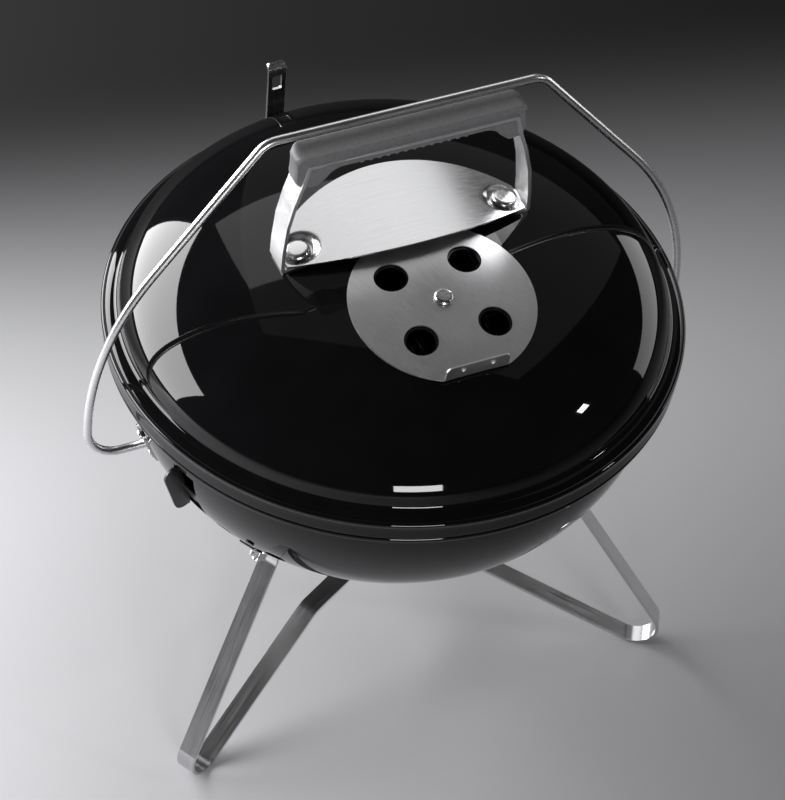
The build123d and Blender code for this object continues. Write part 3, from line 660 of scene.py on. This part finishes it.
def shieldMesh():
    bm = bmesh.new()
    across, deep, half = shieldShape["across"], shieldShape["deep"], shieldShape["half"]
    sheets = []
    for lift in (0.0, shieldShape["thick"]):
        grid = []
        for i in range(across + 1):
            x = half * math.sin(math.pi / 2 * (2 * i / across - 1) * 0.98) / math.sin(math.pi / 2 * 0.98)
            front = arcThrough(x, shieldShape["frontEnd"], shieldShape["frontMid"])
            rear = arcThrough(x, shieldShape["rearEnd"], shieldShape["rearMid"])
            grid.append([bm.verts.new((x, front + (rear - front) * j / deep,
                                       shieldHeight(x, front + (rear - front) * j / deep) + lift))
                         for j in range(deep + 1)])
        sheets.append(grid)
    low, high = sheets
    for i in range(across):
        for j in range(deep):
            bm.faces.new((high[i][j], high[i + 1][j], high[i + 1][j + 1], high[i][j + 1]))
            bm.faces.new((low[i][j], low[i][j + 1], low[i + 1][j + 1], low[i + 1][j]))
    for i in range(across):
        bm.faces.new((low[i][0], low[i + 1][0], high[i + 1][0], high[i][0]))
        bm.faces.new((low[i + 1][deep], low[i][deep], high[i][deep], high[i + 1][deep]))
    for j in range(deep):
        bm.faces.new((low[0][j + 1], low[0][j], high[0][j], high[0][j + 1]))
        bm.faces.new((low[across][j], low[across][j + 1], high[across][j + 1], high[across][j]))
    bmesh.ops.recalc_face_normals(bm, faces=bm.faces)
    bmesh.ops.scale(bm, vec=(mm, mm, mm), verts=bm.verts)
    return meshFrom(bm, "heatShield", 40)


heatShield = newObject("heatShield", shieldMesh(), shieldSteel)
softenEdges(heatShield, shieldShape["edge"], 3, 45)
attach(heatShield, "lid_body")
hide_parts("heat_shield")
print("stage 6: heat shield")


dressed = [
    ("leg_left", "legLeft", legSteel["left"], "base", "leg_steel", 0.45),
    ("leg_right", "legRight", legSteel["right"], "base", "leg_steel", 0.45),
    ("leg_rear", "legRear", legSteel["rear"], "base", "leg_steel", 0.45),
    ("leg_hub", "legHub", legSteel["rear"], "base", "leg_steel", 0.4),
    ("leg_bolts", "legBolts", fastenerSteel, "base", "fastener_steel", 0.3),
    ("leg_washers", "legWashers", fastenerSteel, "base", "fastener_steel", 0.35),
    ("leg_nuts", "legNuts", fastenerSteel, "base", "fastener_steel", 0.4),
    ("hub_rivets", "hubRivets", fastenerSteel, "base", "fastener_steel", 0.2),
    ("post_rivets", "postRivets", fastenerSteel, "base", "fastener_steel", 0.2),
    ("plate_rivets", "plateRivets", fastenerSteel, "base", "fastener_steel", 0.2),
    ("vent_rivets", "ventRivets", bowlEnamel, "base", "rivet_enamel", 0.2),
    ("rear_post", "rearPost", postSteel, "base", "post_steel", 0.5),
    ("bail_plate_left", "bailPlateLeft", postSteel, "base", "plate_steel", 0.4),
    ("bail_plate_right", "bailPlateRight", postSteel, "base", "plate_steel", 0.4),
    ("grate_rests", "grateRests", restEnamel, "base", "rest_steel", 0.3),
    ("handle_bracket", "handleBracket", bracketSteel, "lid_body", "bracket_steel", 0.5),
    ("handle_rivets", "handleRivets", fastenerSteel, "lid_body", "fastener_steel", 0.3),
    ("lid_damper_rivet", "lidVentRivet", fastenerSteel, "lid_body", "fastener_steel", 0.3),
    ("lid_damper", "lidVentDisc", ventAluminium, "damper_body", "damper_aluminium", 0.25),
    ("vent_slide_left", "ventSlideLeft", slideAluminium, "vent_left_body", "vent_aluminium", 0.3),
    ("vent_slide_right", "ventSlideRight", slideAluminium, "vent_right_body", "vent_aluminium", 0.3),
    ("cooking_grate", "cookingGrate", grateSteel, "cooking_grate_body", "grate_wire", 0.1),
    ("charcoal_grate", "charcoalGrate", coalGrateSteel, "charcoal_grate_body", "coal_grate_steel", 0.1),
]
for node, name, material, body, slot, bevel in dressed:
    dressNode(node, name, material, body, bevel)
print("stage 7: straps, plates and fasteners")


# the floor's base colour carries painted light: a painted falloff across it and painted shade towards the back
studio = {"floorSize": 12.0, "floorMid": 0.455, "paintedSideFall": 0.80, "slant": 0.34, "azimuth": -26.82,
          "floorRough": 0.65, "floorGloss": 0.05, "floorTop": 0.85, "floorTint": (0.985, 0.985, 1.02),
          "paintedBackFrom": 0.07, "paintedBackTo": 0.60, "paintedBackShade": 0.03, "world": 0.02, "fill": 0.5}


def paintedLightFloor():
    # pale table top with painted light: its base colour darkens away from the window side and towards the back,
    # a painted falloff of the lamps' light
    material, tree, shader = newMaterial("studioFloor")
    shader.inputs["Roughness"].default_value = studio["floorRough"]
    shader.inputs["Specular IOR Level"].default_value = studio["floorGloss"]
    where = tree.nodes.new("ShaderNodeTexCoord")
    place = tree.nodes.new("ShaderNodeMapping")
    place.inputs["Rotation"].default_value = (0, 0, -math.radians(studio["azimuth"]))
    split = tree.nodes.new("ShaderNodeSeparateXYZ")
    tree.links.new(where.outputs["Object"], place.inputs["Vector"])
    tree.links.new(place.outputs["Vector"], split.inputs["Vector"])
    across, deep = split.outputs["X"], split.outputs["Y"]
    # painted light falloff across the floor, brighter towards the window side
    side = mathsNode(tree, "EXPONENT", mathsNode(tree, "MULTIPLY", across, -1.0 / studio["paintedSideFall"]))
    shifted = mathsNode(tree, "SUBTRACT", deep, mathsNode(tree, "MULTIPLY", across, studio["slant"]))
    # painted shade towards the back of the floor
    fall = tree.nodes.new("ShaderNodeMapRange")
    fall.interpolation_type = "SMOOTHERSTEP"
    fall.inputs["From Min"].default_value = studio["paintedBackFrom"]
    fall.inputs["From Max"].default_value = studio["paintedBackTo"]
    fall.inputs["To Min"].default_value = 1.0
    fall.inputs["To Max"].default_value = studio["paintedBackShade"]
    tree.links.new(shifted, fall.inputs["Value"])
    shade = mathsNode(tree, "MULTIPLY", side, fall.outputs["Result"])
    shade = mathsNode(tree, "MULTIPLY", shade, studio["floorMid"])
    level = mathsNode(tree, "MINIMUM", shade, studio["floorTop"])
    colour = tree.nodes.new("ShaderNodeCombineColor")
    for channel, share in zip(("Red", "Green", "Blue"), studio["floorTint"]):
        tree.links.new(mathsNode(tree, "MULTIPLY", level, share), colour.inputs[channel])
    tree.links.new(colour.outputs["Color"], shader.inputs["Base Color"])
    return material


floorMesh = bpy.data.meshes.new("studioFloor")
half = studio["floorSize"] / 2
floorMesh.from_pydata([(-half, -half, 0), (half, -half, 0), (half, half, 0), (-half, half, 0)], [],
                      [(0, 1, 2, 3)])
floor = bpy.data.objects.new("studioFloor", floorMesh)
bpy.context.scene.collection.objects.link(floor)
floorMesh.materials.append(paintedLightFloor())

world = bpy.data.worlds.new("studioWorld")
bpy.context.scene.world = world
world.use_nodes = True
world.node_tree.nodes["Background"].inputs["Color"].default_value = (1, 1, 1, 1)
world.node_tree.nodes["Background"].inputs["Strength"].default_value = studio["world"]


# azimuth and elevation from the grill, distance, width and height in metres, radiance
lamps = {"leftPanel": (-45, 14, 2.2, 2.6, 1.4, 12.0),
         "rearPanel": (14, 44, 2.6, 1.9, 1.1, 1.25),
         "rearHaze": (35, 47, 2.7, 3.3, 3.4, 0.16),
         "rightPanel": (80, 3, 2.4, 1.7, 0.7, 2.2),
         "frontWindow": (-167, 8, 2.4, 0.7, 0.42, 25.0),
         "smallLamp": (121, 29, 2.4, 0.16, 0.16, 50.0)}
lampAim = (0, 0, 0.3)


def softbox(name, direction, distance, width, height, radiance, glossy=True):
    # oblong lamp at that direction from the grill, facing it; radiance is the brightness it shows in a mirror
    lamp = bpy.data.lights.new(name, "AREA")
    lamp.shape = "RECTANGLE"
    lamp.size = width
    lamp.size_y = height
    lamp.energy = radiance * math.pi * width * height
    obj = bpy.data.objects.new(name, lamp)
    bpy.context.scene.collection.objects.link(obj)
    way = Vector(direction).normalized()
    obj.location = Vector(lampAim) + way * distance
    obj.rotation_euler = (-way).to_track_quat("-Z", "Y").to_euler()
    obj.visible_camera = False
    obj.visible_glossy = glossy


def heading(azimuth, elevation):
    # azimuth 0 is +Y, behind the grill, and 90 is +X
    a, e = math.radians(azimuth), math.radians(elevation)
    return (math.sin(a) * math.cos(e), math.cos(a) * math.cos(e), math.sin(e))


for name, (azimuth, elevation, distance, width, height, radiance) in lamps.items():
    softbox(name, heading(azimuth, elevation), distance, width, height, radiance)
softbox("topFill", (0.1, -0.1, 1), 3.0, 3.2, 3.2, studio["fill"], glossy=False)

cameraSetup = {"azimuth": -26.82, "elevation": 46.74, "distance": 2.3033, "target": (0.0047, 0.0, 0.1968),
               "roll": 5.19, "focal": 3600.0, "imageWidth": 785.0, "sensor": 36.0}


def placeCamera():
    a, e = math.radians(cameraSetup["azimuth"]), math.radians(cameraSetup["elevation"])
    back = Vector((math.sin(a) * math.cos(e), -math.cos(a) * math.cos(e), math.sin(e)))
    right = Vector((math.cos(a), math.sin(a), 0))
    up = back.cross(right)
    roll = math.radians(cameraSetup["roll"])
    sideways = right * math.cos(roll) + up * math.sin(roll)
    upright = up * math.cos(roll) - right * math.sin(roll)
    data = bpy.data.cameras.new("grillCamera")
    data.sensor_fit = "HORIZONTAL"
    data.sensor_width = cameraSetup["sensor"]
    data.lens = cameraSetup["focal"] * cameraSetup["sensor"] / cameraSetup["imageWidth"]
    data.clip_start = 0.05
    camera = bpy.data.objects.new("grillCamera", data)
    bpy.context.scene.collection.objects.link(camera)
    turn = Matrix((sideways, upright, back)).transposed().to_4x4()
    place = Vector(cameraSetup["target"]) + back * cameraSetup["distance"]
    camera.matrix_world = Matrix.Translation(place) @ turn
    bpy.context.scene.camera = camera


placeCamera()
bpy.context.scene.view_settings.view_transform = "Standard"
print("stage 8: studio and camera")
